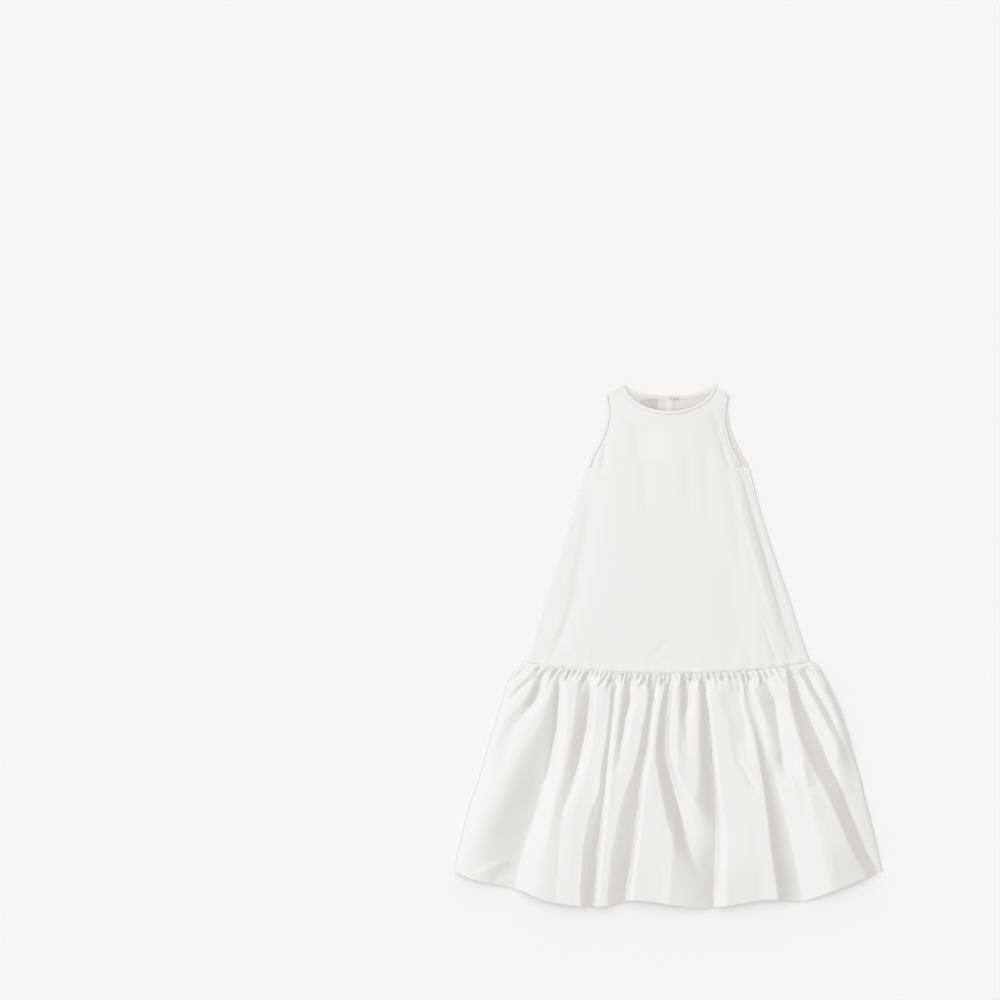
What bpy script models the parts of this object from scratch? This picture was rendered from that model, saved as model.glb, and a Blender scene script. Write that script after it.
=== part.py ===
"""A baby's sleeveless satin gown, laid flat on its back.

The A-line body has a round neck and armholes with narrow bindings, and a back that opens in a short slit.
A deep flounce is gathered onto its lower edge and falls in soft folds of uneven depth.
Sizes are in millimetres: "side" runs to the right of the gown's centre line, "down" from the top of the
shoulders to the hem, and "height" up from the surface that the gown lies on. `place` turns them to metres.
"""

import math
from collections import namedtuple

import bpy
import numpy as np

# Cloth and making
SATIN_WALL = 1.0
BINDING_WALL = 1.4
SEAM_GAP = 0.3
NECK_BINDING_WIDTH = 6.5
ARMHOLE_BINDING_WIDTH = 5.0

# The whole gown
LENGTH = 879.0
HEM_LEFT = -358.4
HEM_RIGHT = 361.8

# Neck and shoulders
NECK_MIDDLE = 3.0
NECK_HALF_WIDTH = 73.0
FRONT_NECK_DEPTH = 43.0
BACK_NECK_DEPTH = 18.5
NECK_ROUNDNESS = 1.9
SHOULDER_POINT = 72.0
SHOULDER_TIP = 105.0
SHOULDER_DROP = 19.0

# The seam between body and flounce, highest at its two ends
SEAM_LOWEST = 483.5
SEAM_RISE = 18.5
SEAM_ROUNDNESS = 2.2

# The opening at the back of the neck and what is sewn beside it
SLIT_SIDE = 9.2
SLIT_LENGTH = 150.0
SLIT_SPREAD = 3.4
PLACKET_WIDTH = 13.0
PLACKET_PAST_SLIT = 6.0
PLACKET_TURN = 0.6
LABEL_SIZE = (29.0, 22.0)
LABEL_CORNER = (-45.5, 24.0)
HOOK_WIRE = 0.9
HOOK_DOWN = 22.5
HOOK_NEAR = 3.6
HOOK_FAR = 9.0
HOOK_BEND = 1.5
EYE_IN = 4.6
EYE_RADIUS = 1.8

# How far the front layer stands above the back one, between its edges
BODY_LIFT = 3.0
BACK_FOLD_LIFT = 2.2

Edge = namedtuple("Edge", "down left right")
FRONT_EDGES = (
    Edge(19, -105, 102),
    Edge(38, -101.5, 98.5),
    Edge(60, -102.5, 98),
    Edge(80, -108, 101),
    Edge(100, -117, 107),
    Edge(119, -128, 116),
    Edge(135, -133, 125),
    Edge(160, -141.5, 136),
    Edge(200, -155, 149.5),
    Edge(280, -178.5, 174.5),
    Edge(360, -205, 201),
    Edge(442, -229, 228.5),
    Edge(466, -236, 238),
)
BACK_EDGES = (
    Edge(19, -105, 105),
    Edge(38, -101.5, 101.5),
    Edge(60, -102.5, 104),
    Edge(80, -108, 109),
    Edge(100, -117, 117.5),
    Edge(119, -128, 127),
    Edge(135, -133, 136.5),
    Edge(160, -141.5, 143.5),
    Edge(200, -155, 153.5),
    Edge(280, -178.5, 178),
    Edge(360, -205, 205),
    Edge(442, -229, 232),
    Edge(466, -236, 241),
)
UNDERARM_DOWN = 135
FLOUNCE_EDGES = (
    Edge(466, -241, 245),
    Edge(476, -251, 256),
    Edge(496, -267, 268),
    Edge(520, -275, 279),
    Edge(556, -286, 294),
    Edge(610, -303, 310),
    Edge(664, -318, 325),
    Edge(704, -333, 335),
    Edge(758, -346.5, 348.5),
    Edge(800, -356, 357.5),
    Edge(820, HEM_LEFT, HEM_RIGHT),
)

# The hem's depth at each share of the half width: the folds draw it up and let it down
Hem = namedtuple("Hem", "share down")
FRONT_HEM = (
    Hem(-1.0, 818),
    Hem(-0.9, 832),
    Hem(-0.71, 847),
    Hem(-0.55, 868),
    Hem(-0.34, LENGTH - 3),
    Hem(-0.15, 865.5),
    Hem(0.04, 874),
    Hem(0.18, LENGTH),
    Hem(0.32, 872),
    Hem(0.46, 864),
    Hem(0.60, 867.5),
    Hem(0.785, 847),
    Hem(0.925, 827),
    Hem(1.0, 817),
)
BACK_HEM = (Hem(-1.0, 817), Hem(-0.6, 850), Hem(0, 866), Hem(0.6, 850), Hem(1.0, 816))

# The flounce's large folds, left to right. Each trough runs through five shares of the half width from seam
# to hem, has three depths as shares of the cloth's height, and a width to its left and right in millimetres
Fold = namedtuple("Fold", "seam upper middle lower hem deep_top deep_middle deep_hem left right")
FRONT_FOLDS = (
    Fold(-0.86, -0.83, -0.83, -0.83, -0.83, 0.55, 0.0, 0.0, 18, 12),
    Fold(-0.73, -0.675, -0.69, -0.745, -0.815, 0.75, 0.8, 0.5, 34, 14),
    Fold(-0.56, -0.51, -0.525, -0.56, -0.575, 0.45, 0.5, 0.15, 18, 12),
    Fold(-0.37, -0.355, -0.352, -0.352, -0.35, 0.55, 0.62, 0.78, 26, 7),
    Fold(-0.27, -0.275, -0.27, -0.27, -0.27, 0.5, 0.1, 0.0, 11, 10),
    Fold(-0.10, -0.125, -0.15, -0.175, -0.205, 0.6, 0.68, 0.8, 32, 8),
    Fold(0.005, -0.035, 0.005, 0.10, 0.17, 0.7, 0.7, 0.55, 12, 14),
    Fold(0.12, 0.10, 0.10, 0.10, 0.10, 0.5, 0.0, 0.0, 12, 12),
    Fold(0.225, 0.238, 0.242, 0.233, 0.205, 0.4, 0.75, 0.6, 20, 7),
    Fold(0.36, 0.37, 0.41, 0.43, 0.43, 0.3, 0.45, 0.0, 14, 12),
    Fold(0.495, 0.48, 0.49, 0.50, 0.508, 0.45, 0.55, 0.78, 7, 28),
    Fold(0.642, 0.619, 0.63, 0.63, 0.63, 0.55, 0.25, 0.0, 10, 14),
    Fold(0.78, 0.745, 0.813, 0.90, 0.97, 0.6, 0.72, 0.5, 15, 24),
    Fold(0.93, 0.941, 0.96, 0.97, 0.98, 0.5, 0.3, 0.0, 12, 12),
)
# Low folds of the back layer, which the gown's own weight has pressed
BACK_FOLDS = (
    Fold(-0.70, -0.68, -0.67, -0.68, -0.70, 0.8, 0.7, 0.9, 16, 12),
    Fold(-0.30, -0.33, -0.36, -0.37, -0.40, 0.7, 0.9, 0.8, 14, 20),
    Fold(0.05, 0.06, 0.04, 0.02, 0.00, 0.8, 0.6, 0.7, 14, 14),
    Fold(0.38, 0.40, 0.44, 0.46, 0.45, 0.7, 0.9, 0.9, 20, 12),
    Fold(0.75, 0.74, 0.73, 0.75, 0.76, 0.6, 0.8, 0.7, 12, 16),
)
GATHERS = 24
GATHER_HEIGHT = 2.0
GATHER_REACH = 0.075
CREST_AT_SEAM = 2.6
CREST_MIDDLE = 11.0
CREST_HEM = 17.0

# Into how many stretches the edges and the flounce are divided
NECK_STEPS = 14
HALF_NECK_STEPS = 8
SHOULDER_STEPS = 2
ARMHOLE_STEPS = 7
SIDE_STEPS = 7
SLIT_STEPS = 4
GATHER_STEPS = 4
BACK_FLOUNCE_STEPS = (44, 6)
FRONT_FLOUNCE_ROWS = (0, 0.02, 0.05, 0.09, 0.15, 0.24, 0.35, 0.48, 0.61, 0.74, 0.87, 1)

IVORY = (0.90, 0.89, 0.87)
CREAM = (0.86, 0.81, 0.70)
LABEL_WHITE = (0.80, 0.79, 0.77)
STEEL = (0.55, 0.53, 0.50)


def curve_through(places, values):
    """A smooth curve through the points, which turns over nowhere between them."""
    places = np.asarray(places, float)
    values = np.asarray(values, float)
    steps = np.diff(places)
    rises = np.diff(values) / steps
    slopes = np.zeros(len(places))
    same_way = rises[:-1] * rises[1:] > 0
    slopes[1:-1][same_way] = 2 * (rises[:-1] * rises[1:])[same_way] / (rises[:-1] + rises[1:])[same_way]
    slopes[0] = rises[0]
    slopes[-1] = rises[-1]

    def at(place):
        place = np.clip(place, places[0], places[-1])
        row = np.clip(np.searchsorted(places, place) - 1, 0, len(steps) - 1)
        step = steps[row]
        part = (place - places[row]) / step
        rest = 1 - part
        return (
            values[row] * (1 + 2 * part) * rest**2
            + slopes[row] * step * part * rest**2
            + values[row + 1] * (1 + 2 * rest) * part**2
            - slopes[row + 1] * step * rest * part**2
        )

    return at


def edges_of(rows):
    """The left and the right edge of a table of rows, as functions of the distance down."""
    downs = [row.down for row in rows]
    return curve_through(downs, [row.left for row in rows]), curve_through(downs, [row.right for row in rows])


def ease(value):
    """Turns 0 to 1 into 0 to 1 with soft ends."""
    value = np.clip(value, 0, 1)
    return value * value * (3 - 2 * value)


def place(grid):
    """Points of side, down and height, as metres round the middle of the whole gown's outline."""
    middle = (HEM_LEFT + HEM_RIGHT) / 2
    grid = np.asarray(grid, float)
    return np.stack([grid[..., 0] - middle, LENGTH / 2 - grid[..., 1], grid[..., 2]], axis=-1) / 1000


def seam_down(share):
    """The seam between body and flounce, at a share of its half width."""
    return SEAM_LOWEST - SEAM_RISE * np.abs(share) ** SEAM_ROUNDNESS


def shoulder_down(side):
    """The shoulder seam: level at the neck point, and lower towards the tip."""
    return SHOULDER_DROP * np.clip((np.abs(side) - SHOULDER_POINT) / (SHOULDER_TIP - SHOULDER_POINT), 0, 1)


def moved_off(line, distance):
    """A line's points moved square to it, to the left of its way along."""
    way = np.gradient(line, axis=0)
    way /= np.linalg.norm(way, axis=1, keepdims=True)
    return line + distance * np.stack([way[:, 1], -way[:, 0]], axis=1)


def neck_line(depth, steps, start=-1.0, end=1.0):
    """The neck's edge from left to right, or a stretch of it, as a rounded arch of this depth."""
    turn = np.linspace(math.asin(start), math.asin(end), steps + 1)
    share = np.sin(turn)
    down = depth * np.clip(1 - np.abs(share) ** NECK_ROUNDNESS, 0, 1) ** (1 / NECK_ROUNDNESS)
    return np.stack([NECK_MIDDLE + NECK_HALF_WIDTH * share, down], axis=1)


def below_shoulder(line):
    """The same line, with no point above the shoulder seam."""
    return np.stack([line[:, 0], np.maximum(line[:, 1], shoulder_down(line[:, 0]))], axis=1)


def armhole_line(edge, steps):
    """An armhole's edge from the shoulder tip down to the underarm."""
    down = np.linspace(SHOULDER_DROP, UNDERARM_DOWN, steps + 1)
    return np.stack([edge(down), down], axis=1)


def side_line(edge, start, end, steps):
    """A side seam from just under the armhole binding to the flounce."""
    down = np.linspace(start, end, steps + 1)[1:]
    return np.stack([edge(down), down], axis=1)


def patch(top, bottom, left, right):
    """A grid of points filled in between four edges."""
    run = np.concatenate([[0], np.cumsum(np.linalg.norm(np.diff(top, axis=0), axis=1))])
    across = run / run[-1]
    across = 0.5 * across + 0.5 * (top[:, 0] - top[0, 0]) / (top[-1, 0] - top[0, 0])
    run = np.concatenate([[0], np.cumsum(np.linalg.norm(np.diff(left, axis=0), axis=1))])
    along = run / run[-1]
    floor = np.stack([np.interp(across, bottom[0], bottom[1]), np.interp(across, bottom[0], bottom[2])], axis=1)
    u = across[None, :, None]
    v = along[:, None, None]
    corners = (1 - u) * (1 - v) * top[0] + u * (1 - v) * top[-1] + (1 - u) * v * floor[0] + u * v * floor[-1]
    return (1 - v) * top[None] + v * floor[None] + (1 - u) * left[:, None] + u * right[:, None] - corners


def seam_edge(left, right, gap):
    """The body's lower edge between two sides, as (shares, sides, downs) for `patch`."""
    shares = np.linspace(0, 1, 33)
    sides = left + (right - left) * shares
    return shares, sides, seam_down(sides / max(-FRONT_EDGES[-1].left, FRONT_EDGES[-1].right)) - gap


def body_height(side, down):
    """How high the underside of the body's front lies: on the back at its edges, a little above it between."""
    left, right = edges_of(FRONT_EDGES)
    reach = np.where(side < 0, -left(down), right(down))
    swell = 1 - np.clip(np.abs(side) / reach, 0, 1) ** 3
    return SATIN_WALL + SEAM_GAP + BODY_LIFT * swell * ease(down / 60)


def material(name, colour, roughness, metallic=0.0):
    made = bpy.data.materials.new(name)
    made.use_nodes = True
    surface = made.node_tree.nodes["Principled BSDF"]
    surface.inputs["Base Color"].default_value = (*colour, 1)
    surface.inputs["Roughness"].default_value = roughness
    surface.inputs["Metallic"].default_value = metallic
    return made


def cloth(name, grid, wall, colour=IVORY, roughness=0.4):
    """A sheet of cloth: the open surface through the grid is its underside, and Solidify gives it its wall."""
    rows, columns = grid.shape[:2]
    faces = [
        (i * columns + j, (i + 1) * columns + j, (i + 1) * columns + j + 1, i * columns + j + 1)
        for i in range(rows - 1)
        for j in range(columns - 1)
    ]
    mesh = bpy.data.meshes.new(name)
    mesh.from_pydata(place(grid).reshape(-1, 3).tolist(), [], faces)
    mesh.shade_smooth()
    sheet = bpy.data.objects.new(name, mesh)
    mesh.materials.append(material(name, colour, roughness))
    gown.objects.link(sheet)
    thickness = sheet.modifiers.new("wall", "SOLIDIFY")
    thickness.thickness = wall / 1000
    thickness.offset = 1
    return sheet


def with_height(grid, height):
    """A grid of side and down with its height, a number or a function of side and down."""
    level = height(grid[..., 0], grid[..., 1]) if callable(height) else np.full(grid.shape[:2], float(height))
    return np.concatenate([grid, level[..., None]], axis=-1)


def wire(name, points, thickness, colour):
    """A bent wire with round ends, through the points."""
    curve = bpy.data.curves.new(name, "CURVE")
    curve.dimensions = "3D"
    curve.bevel_depth = thickness / 2000
    curve.bevel_resolution = 1
    curve.use_fill_caps = True
    line = curve.splines.new("POLY")
    line.points.add(len(points) - 1)
    for point, where in zip(line.points, place(points)):
        point.co = (*where, 1)
    curve.materials.append(material(name, colour, 0.35, 1.0))
    bent = bpy.data.objects.new(name, curve)
    gown.objects.link(bent)
    return bent


def panel_sides(edges):
    """A panel's left and right edges: cut back for the binding round the armhole, then whole down to the seam."""
    cut_back = ARMHOLE_BINDING_WIDTH + SEAM_GAP
    found = []
    for edge, inward in zip(edges_of(edges), (cut_back, -cut_back)):
        hole = moved_off(armhole_line(edge, ARMHOLE_STEPS), inward)
        hole[0, 1] = shoulder_down(hole[0, 0])
        end = seam_down(1) - SEAM_GAP
        found.append(np.concatenate([hole, side_line(edge, hole[-1, 1] + 3, end, SIDE_STEPS)]))
    return found


def shoulder_line(start, end):
    """A shoulder seam between two sides."""
    side = np.linspace(start, end, SHOULDER_STEPS + 1)
    return np.stack([side, shoulder_down(side)], axis=1)


def make_front_panel():
    left, right = panel_sides(FRONT_EDGES)
    neck = below_shoulder(moved_off(neck_line(FRONT_NECK_DEPTH, NECK_STEPS), -NECK_BINDING_WIDTH - SEAM_GAP))
    top = np.concatenate(
        [shoulder_line(left[0, 0], neck[0, 0])[:-1], neck, shoulder_line(neck[-1, 0], right[0, 0])[1:]]
    )
    grid = patch(top, seam_edge(left[-1, 0], right[-1, 0], SEAM_GAP), left, right)
    cloth("front_panel", with_height(grid, body_height), SATIN_WALL)


def slit_edge(side_of_slit, top, bottom, steps):
    """The centre back edge of one half: apart at the neck, and a seam's gap apart below the slit."""
    slit = np.linspace(top, SLIT_LENGTH, SLIT_STEPS + 1)
    down = np.concatenate([slit, np.linspace(SLIT_LENGTH, bottom, steps - SLIT_STEPS + 1)[1:]])
    spread = SEAM_GAP / 2 + (SLIT_SPREAD / 2) * np.clip(1 - down / SLIT_LENGTH, 0, 1) ** 1.5
    return np.stack([SLIT_SIDE + side_of_slit * spread, down], axis=1)


def make_back_panels():
    left, right = panel_sides(BACK_EDGES)
    cut_back = NECK_BINDING_WIDTH + SEAM_GAP
    middle = (SLIT_SIDE - NECK_MIDDLE) / NECK_HALF_WIDTH
    reach = SLIT_SPREAD / 2 / NECK_HALF_WIDTH
    for name, direction, outer in (("back_left_panel", -1, left), ("back_right_panel", 1, right)):
        near = middle + direction * reach
        ends = (-1.0, near) if direction < 0 else (near, 1.0)
        neck = below_shoulder(moved_off(neck_line(BACK_NECK_DEPTH, HALF_NECK_STEPS, *ends), -cut_back))
        slit_top = neck[-1] if direction < 0 else neck[0]
        slit = slit_edge(direction, slit_top[1], seam_down(0) - SEAM_GAP, ARMHOLE_STEPS + SIDE_STEPS)
        slit[0] = slit_top
        if direction < 0:
            top = np.concatenate([shoulder_line(outer[0, 0], neck[0, 0])[:-1], neck])
            grid = patch(top, seam_edge(outer[-1, 0], slit[-1, 0], SEAM_GAP), outer, slit)
        else:
            top = np.concatenate([neck, shoulder_line(neck[-1, 0], outer[0, 0])[1:]])
            grid = patch(top, seam_edge(slit[-1, 0], outer[-1, 0], SEAM_GAP), slit, outer)
        cloth(name, with_height(grid, 0), SATIN_WALL)


def make_neck_bindings():
    front = neck_line(FRONT_NECK_DEPTH, NECK_STEPS)
    grid = np.stack([front, below_shoulder(moved_off(front, -NECK_BINDING_WIDTH))])
    cloth("front_neck_binding", with_height(grid, body_height), BINDING_WALL)
    middle = (SLIT_SIDE - NECK_MIDDLE) / NECK_HALF_WIDTH
    reach = SLIT_SPREAD / 2 / NECK_HALF_WIDTH
    for name, ends in (
        ("back_neck_binding_left", (-1.0, middle - reach)),
        ("back_neck_binding_right", (middle + reach, 1.0)),
    ):
        back = neck_line(BACK_NECK_DEPTH, HALF_NECK_STEPS, *ends)
        grid = np.stack([back, below_shoulder(moved_off(back, -NECK_BINDING_WIDTH))])
        cloth(name, with_height(grid, 0), SATIN_WALL)


def make_armhole_bindings():
    for layer, edges, height, wall in (
        ("front", FRONT_EDGES, body_height, BINDING_WALL),
        ("back", BACK_EDGES, 0, SATIN_WALL),
    ):
        for hand, edge, inward in zip(("left", "right"), edges_of(edges), (1, -1)):
            outer = armhole_line(edge, ARMHOLE_STEPS)
            inner = moved_off(outer, inward * ARMHOLE_BINDING_WIDTH)
            inner[0, 1] = shoulder_down(inner[0, 0])
            lines = [outer, inner] if inward > 0 else [inner, outer]
            grid = np.stack(lines, axis=1)
            cloth(f"{hand}_armhole_binding_{layer}", with_height(grid, height), wall)


def trough(fold, share, along, half_width):
    """How deep one fold is at each point, as a share of the cloth's height there."""
    line = curve_through((0, 0.25, 0.5, 0.75, 1), fold[:5])(along)
    depth = curve_through((0, 0.5, 1), (fold.deep_top, fold.deep_middle, fold.deep_hem))(along)
    away = (share - line) * half_width
    width = np.where(away < 0, fold.left, fold.right) * (0.45 + 0.55 * ease(along / 0.5))
    return depth * np.exp(-np.abs(away / width) ** 1.7)


def folded(folds, share, along, half_width):
    """What all the folds together leave of the cloth's height."""
    left = np.ones_like(share)
    for fold in folds:
        left = left * (1 - trough(fold, share, along, half_width))
    return left


def back_flounce_height(share, along, half_width):
    """The underside of the flounce's back layer: flat, with a few low folds."""
    raised = BACK_FOLD_LIFT * (1 - folded(BACK_FOLDS, share, along, half_width))
    return np.where(raised < 0.25, 0, raised - 0.25) * ease((1 - np.abs(share)) / 0.08)


def front_flounce_height(share, along, half_width):
    """The underside of the flounce's front layer: high crests between troughs that lie near the back layer."""
    crest = curve_through((0, 0.12, 0.5, 1), (CREST_AT_SEAM, 7.5, CREST_MIDDLE, CREST_HEM))(along)
    crest = crest * (1 - np.abs(share) ** 5) ** 0.6
    wander = 0.9 * np.sin(9 * share + 1) + 0.5 * np.sin(23 * share)
    ripple = np.sin(math.pi * GATHERS * share + wander) * np.exp(-((along / GATHER_REACH) ** 2))
    ripple = GATHER_HEIGHT / 2 * (1 + ripple) * (1 - np.abs(share) ** 6)
    under = SATIN_WALL + SEAM_GAP + BACK_FOLD_LIFT * (1 - folded(BACK_FOLDS, share, along, half_width))
    clear = SATIN_WALL + SEAM_GAP + (under - SATIN_WALL - SEAM_GAP) * ease((1 - np.abs(share)) / 0.08)
    return clear + crest * folded(FRONT_FOLDS, share, along, half_width) + ripple * ease(along / 0.01 + 0.4)


def flounce_grid(shares, alongs, hem):
    """Points of side and down over the flounce, with their share across, part along and half width."""
    share, along = np.meshgrid(shares, alongs)
    hem_line = curve_through([row.share for row in hem], [row.down for row in hem])
    flank = seam_down(1) + along * (hem_line(1.0) - seam_down(1))
    left, right = edges_of(FLOUNCE_EDGES)
    half_width = (right(flank) - left(flank)) / 2
    side = (right(flank) + left(flank)) / 2 + share * half_width
    down = seam_down(share) + along * (hem_line(share) - seam_down(share))
    return np.stack([side, down], axis=-1), share, along, half_width


def make_flounce():
    shares = np.linspace(-1, 1, GATHER_STEPS * GATHERS + 1)
    grid, share, along, half_width = flounce_grid(shares, FRONT_FLOUNCE_ROWS, FRONT_HEM)
    height = front_flounce_height(share, along, half_width)
    cloth("flounce_front", np.concatenate([grid, height[..., None]], axis=-1), SATIN_WALL)
    shares, alongs = (np.linspace(low, 1, steps + 1) for low, steps in zip((-1, 0), BACK_FLOUNCE_STEPS))
    grid, share, along, half_width = flounce_grid(shares, alongs, BACK_HEM)
    height = back_flounce_height(share, along, half_width)
    cloth("flounce_back", np.concatenate([grid, height[..., None]], axis=-1), SATIN_WALL)


def make_placket():
    """The strip that faces the slit's left edge inside, and runs a little past its end."""
    down = np.linspace(BACK_NECK_DEPTH + PLACKET_TURN, SLIT_LENGTH + PLACKET_PAST_SLIT, SIDE_STEPS)
    edge = slit_edge(-1, 0, 2 * SLIT_LENGTH, 2 * SLIT_STEPS)
    near = np.interp(down, edge[:, 1], edge[:, 0]) - PLACKET_TURN
    grid = np.stack([np.stack([near - PLACKET_WIDTH, down], axis=1), np.stack([near, down], axis=1)], axis=1)
    cloth("back_placket_strip", with_height(grid, SATIN_WALL + SEAM_GAP), SATIN_WALL, CREAM)


def make_label():
    """The neck label, bare, sewn to the inside of the back."""
    side = LABEL_CORNER[0] + LABEL_SIZE[0] * np.array([0, 1])
    down = LABEL_CORNER[1] + LABEL_SIZE[1] * np.array([0, 1])
    grid = np.stack(np.meshgrid(side, down), axis=-1)
    cloth("neck_label", with_height(grid, SATIN_WALL + SEAM_GAP), SATIN_WALL, LABEL_WHITE, 0.8)


def make_hook_and_eye():
    """The fastening at the top of the slit: a bent wire hook on the right half, and its eye on the placket."""
    height = SATIN_WALL + SEAM_GAP + HOOK_WIRE / 2
    turn = np.linspace(-0.75 * math.pi, 0.75 * math.pi, 9)
    eye_height = height + SATIN_WALL + SEAM_GAP
    middle = SLIT_SIDE - EYE_IN
    eye = [(middle + EYE_RADIUS * math.cos(a), HOOK_DOWN + EYE_RADIUS * math.sin(a), eye_height) for a in turn]
    wire("eye", eye, HOOK_WIRE, STEEL)
    bend = np.linspace(-math.pi / 2, math.pi / 2, 5)
    far = SLIT_SIDE + HOOK_FAR
    near = SLIT_SIDE + HOOK_NEAR
    hook = [(far, HOOK_DOWN + HOOK_BEND, height), (near, HOOK_DOWN + HOOK_BEND, height)]
    hook += [
        (near - HOOK_BEND * math.cos(a), HOOK_DOWN - HOOK_BEND * math.sin(a), height) for a in bend[1:-1]
    ]
    hook += [(near, HOOK_DOWN - HOOK_BEND, height), (far, HOOK_DOWN - HOOK_BEND, height)]
    wire("hook", hook, HOOK_WIRE, STEEL)


for left_over in list(bpy.data.objects):
    bpy.data.objects.remove(left_over)
gown = bpy.data.collections.new("satin_gown")
bpy.context.scene.collection.children.link(gown)
make_front_panel()
make_back_panels()
make_neck_bindings()
make_armhole_bindings()
make_flounce()
make_placket()
make_label()
make_hook_and_eye()
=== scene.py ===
"""A baby's sleeveless ivory satin gown, laid flat on a pale floor and seen from straight above.

Sizes are in millimetres: "side" runs to the right of the gown's centre line, "down" from the top of the
shoulders to the hem, and "height" up from the floor. `place` turns them to metres in the frame.
"""

import math
from collections import namedtuple

import bpy
import numpy as np
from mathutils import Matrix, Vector


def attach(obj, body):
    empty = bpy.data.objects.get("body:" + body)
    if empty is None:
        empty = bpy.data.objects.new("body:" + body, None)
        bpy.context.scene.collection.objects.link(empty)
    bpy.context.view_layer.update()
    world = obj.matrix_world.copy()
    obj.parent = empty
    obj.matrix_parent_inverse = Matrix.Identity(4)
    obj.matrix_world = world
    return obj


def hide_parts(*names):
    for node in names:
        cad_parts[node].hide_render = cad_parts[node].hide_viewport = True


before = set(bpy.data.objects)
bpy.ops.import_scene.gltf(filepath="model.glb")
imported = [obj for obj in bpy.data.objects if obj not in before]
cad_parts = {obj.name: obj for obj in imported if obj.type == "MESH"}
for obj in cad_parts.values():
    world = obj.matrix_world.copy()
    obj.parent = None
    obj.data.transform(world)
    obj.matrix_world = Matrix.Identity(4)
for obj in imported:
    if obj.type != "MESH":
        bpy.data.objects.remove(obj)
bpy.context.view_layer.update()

# Cloth
SATIN_WALL = 0.8
LAYER_GAP = 0.1
TOUCHING = 0.1
NECK_BINDING_WIDTH = 6.5
ARMHOLE_BINDING_WIDTH = 5.0
FRONT_BINDING_THICKNESS = 1.5
BACK_BINDING_THICKNESS = 0.85
BINDING_SINKS_OVER = 12

# The whole gown
LENGTH = 879.0
HEM_LEFT = -358.4
HEM_RIGHT = 361.8

# Neck and shoulders
NECK_MIDDLE = 3.0
NECK_HALF_WIDTH = 73.0
FRONT_NECK_DEPTH = 43.0
BACK_NECK_DEPTH = 18.5
NECK_ROUNDNESS = 1.9
SHOULDER_POINT = 72.0
SHOULDER_TIP = 105.0
SHOULDER_DROP = 19.0
UNDERARM_DOWN = 135

# The seam between body and flounce, highest at its two ends
SEAM_LOWEST = 483.5
SEAM_RISE = 18.5
SEAM_ROUNDNESS = 2.2

# The opening at the back of the neck and what is sewn beside it
SLIT_SIDE = 9.2
SLIT_LENGTH = 150.0
SLIT_SPREAD = 3.4
PLACKET_WIDTH = 13.0
PLACKET_PAST_SLIT = 6.0
PLACKET_TURN = 0.6
PLACKET_LEVEL = 1.03
PLACKET_WALL = 1.25
PLACKET_FLAP_WALLS = (0.7, 0.35, 0.35)
LABEL_SIZE = (29.0, 22.0)
LABEL_CORNER = (-45.5, 24.0)
LABEL_LEVEL = 0.95
LABEL_WALL = 0.4

# How far the front layer stands above the back one, between its edges, and how softly it comes down on it
BODY_LIFT = 3.2
LIFTED_BELOW = 60
ON_THE_BACK = 0.84
SOFT_LANDING = 0.2
CREASED_WITHIN = 12
ROUND_EDGE_ENDS = 465
BACK_FOLD_LIFT = 1.3
BACK_FOLD_LEAST = 0.25
EDGE_TURN = 2.5
BACK_EDGE_INSET = 1.6
SEAM_DITCH = 1.5
BACK_ROLL = 0.7
IVORY_MARGIN = 4

# Parts of the flounce's length: up to where it meets the body's level, where it has left that, where its
# folds are whole, and the ditch along the seam
AT_BODY_LEVEL = 0.02
OFF_BODY_LEVEL = 0.012
WHOLE_FOLDS = 0.04
DITCH_MIDDLE = 0.006
DITCH_HALF_WIDTH = 0.004

# Points along and across the cloth
FRONT_GRID = (150, 161)
BACK_ROWS = 120
LEFT_COLUMNS = 70
RIGHT_COLUMNS = 110
RIGHT_CLOSER = 2.2

# How high the flounce's crests stand, at parts of the way along from seam to hem
CREST_HEIGHTS = ((0, 1.9), (0.12, 6.5), (0.5, 11.0), (0.8, 13.5), (1, 9.5))
FOLD_ROUNDING = 1.2


def rows_of(kind, rows):
    """A table whose rows have the names of their columns."""
    return tuple(kind(*row) for row in rows)


# Where the edges are at some distances down. The back's right edge is further out than the front's
Edge = namedtuple("Edge", "down left right right_behind", defaults=(None,))
BODY_EDGES = rows_of(Edge, (
    (19, -105, 102, 105), (38, -101.5, 98.5, 101.5), (60, -102.5, 98, 104), (80, -108, 101, 109),
    (100, -117, 107, 117.5), (119, -128, 116, 127), (135, -133, 125, 136.5), (160, -141.5, 136, 143.5),
    (200, -155, 149.5, 153.5), (280, -178.5, 174.5, 178), (360, -205, 201, 205), (442, -229, 228.5, 232),
    (466, -236, 238, 241),
))
FLOUNCE_EDGES = rows_of(Edge, (
    (466, -241, 245), (476, -251, 256), (496, -267, 268), (520, -275, 279), (556, -286, 294),
    (610, -303, 310), (664, -318, 325), (704, -333, 335), (758, -346.5, 348.5), (800, -356, 357.5),
    (820, HEM_LEFT, HEM_RIGHT),
))

Hem = namedtuple("Hem", "share down")
FRONT_HEM = rows_of(Hem, (
    (-1, 818), (-0.9, 832), (-0.71, 847), (-0.55, 868), (-0.34, LENGTH - 3), (-0.15, 865.5), (0.04, 874),
    (0.18, LENGTH), (0.32, 872), (0.46, 864), (0.6, 867.5), (0.785, 847), (0.925, 827), (1, 817),
))
BACK_HEM = rows_of(Hem, (
    (-1, 817), (-0.6, 850), (0, 866), (0.6, 850), (1, 816),
))

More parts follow.
